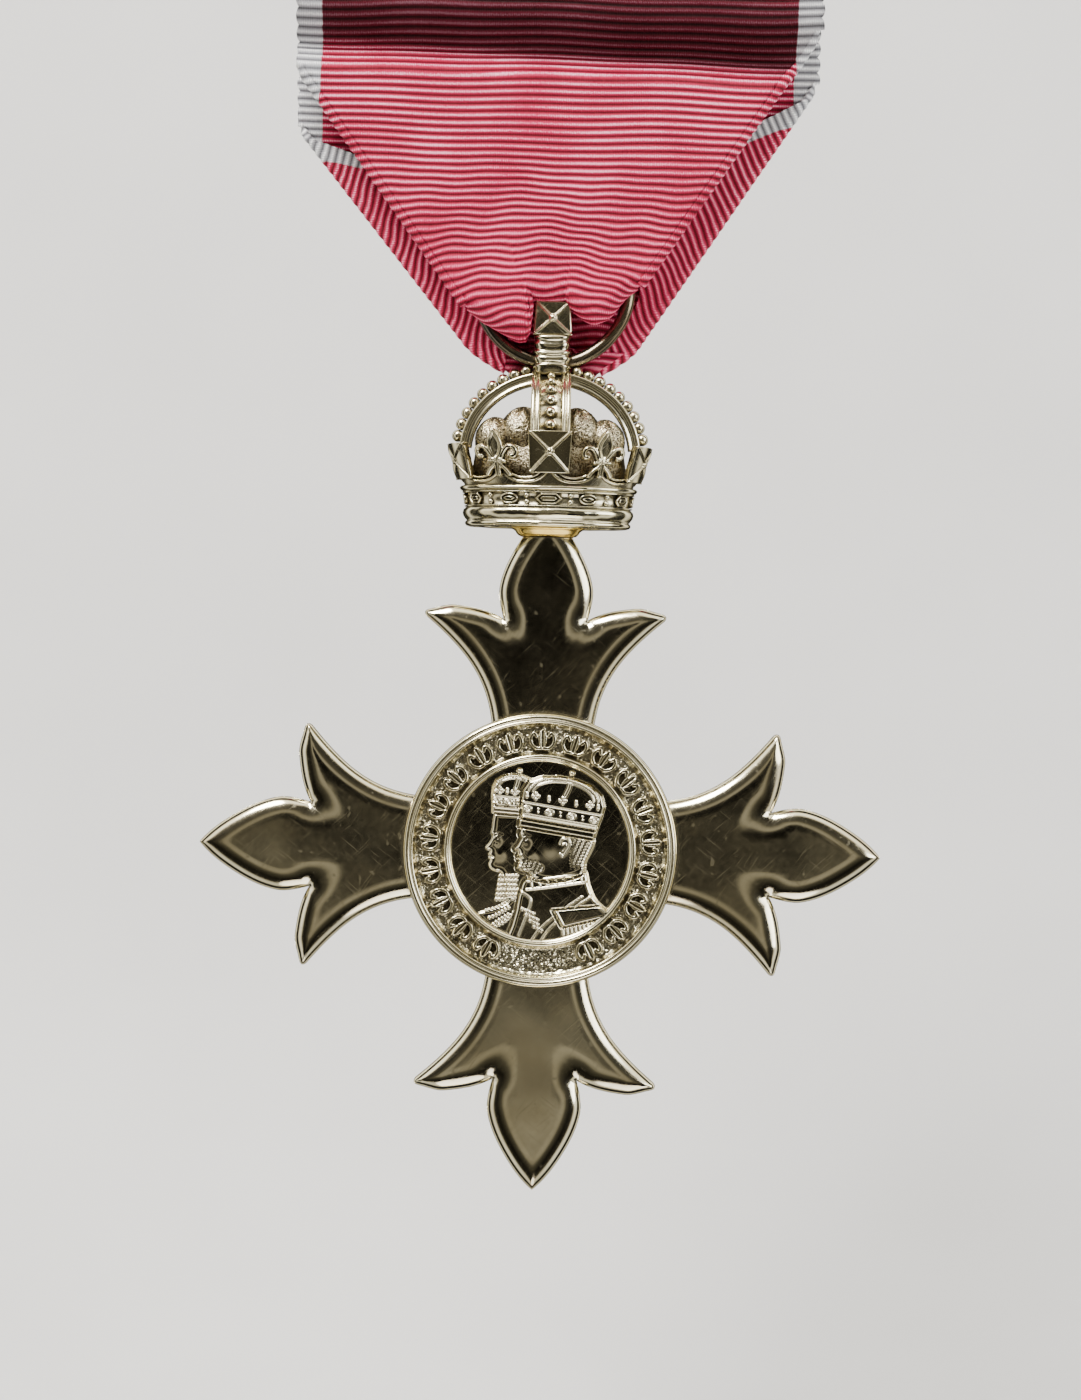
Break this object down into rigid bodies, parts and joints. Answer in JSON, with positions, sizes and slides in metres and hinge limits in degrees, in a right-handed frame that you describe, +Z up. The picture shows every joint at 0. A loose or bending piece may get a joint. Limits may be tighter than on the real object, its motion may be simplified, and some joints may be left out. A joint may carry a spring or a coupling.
{
  "type": "award medal on ribbon",
  "caption": "Gilt cross badge with flared leaf-tipped arms, portrait medallion and arched crown, hung by a ring from a folded ribbed ribbon on a bar brooch.",
  "frame": {"origin": "middle of the brooch pin's round stem, where the medal is fastened to a garment", "axes": "+X along the pin from its hinge to its point, +Z up, -Y the way the obverse faces"},
  "size_m": [0.05, 0.0099, 0.1018],
  "materials": {
    "gilt": "polished gilding, dark in the recesses",
    "gilt_wire": "polished drawn wire",
    "brooch_metal": "gilded, lightly worn",
    "ribbon": "ribbed silk, rose pink with pearl grey edges",
    "thread": "sewing thread"
  },
  "bodies": {
    "brooch": {"brooch_rod": "brooch_metal", "hinge_block": "brooch_metal", "hinge_rivet": "brooch_metal", "catch_jaw": "brooch_metal"},
    "pin": {"pin_stem": "brooch_metal"},
    "catch": {"catch_collar": "brooch_metal"},
    "ribbon": {"ribbon_panel": "ribbon", "ribbon_stitching": "thread"},
    "ribbon_lower": {"ribbon_loop": "ribbon"},
    "ring": {"suspension_ring": "gilt_wire"},
    "badge": {"cross_arms": "gilt", "obverse_circlet": "gilt", "obverse_medallion": "gilt", "reverse_circlet": "gilt", "reverse_medallion": "gilt", "centre_pegs": "gilt", "crown_collar": "gilt", "crown_band": "gilt", "band_jewels": "gilt", "band_pearls": "gilt", "crown_crest": "gilt", "crown_crosses": "gilt", "crown_fleurs": "gilt", "crown_cap": "gilt", "side_arch": "gilt", "fore_arch": "gilt", "side_arch_pearls": "gilt", "fore_arch_pearls": "gilt", "orb": "gilt", "orb_cross": "gilt"}
  },
  "joints": [
    {"name": "pin_open", "type": "hinge", "parent": "brooch", "child": "pin", "pos_m": [-0.0216, 0, 0], "axis": [0, 0, 1], "range_deg": [0, 75]},
    {"name": "catch_turn", "type": "hinge", "parent": "brooch", "child": "catch", "pos_m": [0.0222, 0, 0], "axis": [1, 0, 0], "range_deg": [0, 90]},
    {"name": "ribbon_swing", "type": "hinge", "parent": "brooch", "child": "ribbon", "pos_m": [0, -0.004, 0], "axis": [-1, 0, 0], "range_deg": [-30, 90]},
    {"name": "ribbon_bend", "type": "hinge", "parent": "ribbon", "child": "ribbon_lower", "pos_m": [0, -0.0063, -0.0265], "axis": [-1, 0, 0], "range_deg": [0, 80]},
    {"name": "ring_drop", "type": "slide", "parent": "ribbon_lower", "child": "ring", "axis": [0, 0, -1], "range_m": [0, 0.005]},
    {"name": "badge_swing", "type": "hinge", "parent": "ring", "child": "badge", "pos_m": [0, -0.004, -0.03875], "axis": [-1, 0, 0], "range_deg": [-12, 15]}
  ]
}
